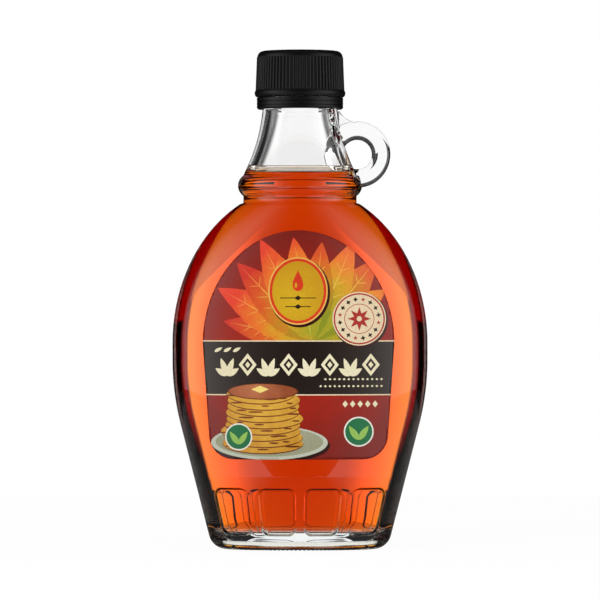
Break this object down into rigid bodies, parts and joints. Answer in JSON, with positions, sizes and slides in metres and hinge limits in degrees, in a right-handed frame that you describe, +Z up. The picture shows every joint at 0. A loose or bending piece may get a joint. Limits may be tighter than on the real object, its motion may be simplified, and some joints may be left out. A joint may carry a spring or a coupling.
{
  "type": "maple syrup bottle",
  "caption": "Flat oval glass flask with a small ring handle at its neck, a ribbed black screw cap, a printed front label and dark syrup up to the neck.",
  "frame": {"origin": "middle of the base, on the surface that the bottle stands on", "axes": "+Z up, +X to the side of the ring handle, -Y to the front where the label is"},
  "size_m": [0.0892, 0.0443, 0.1741],
  "materials": {
    "glass": "clear, polished",
    "syrup": "clear dark amber liquid",
    "cap": "satin black",
    "label": "glossy coated paper"
  },
  "bodies": {
    "root": {"bottle": "glass", "syrup": "syrup", "cap": "cap", "tamper_band": "cap", "label": "label"}
  },
  "joints": []
}
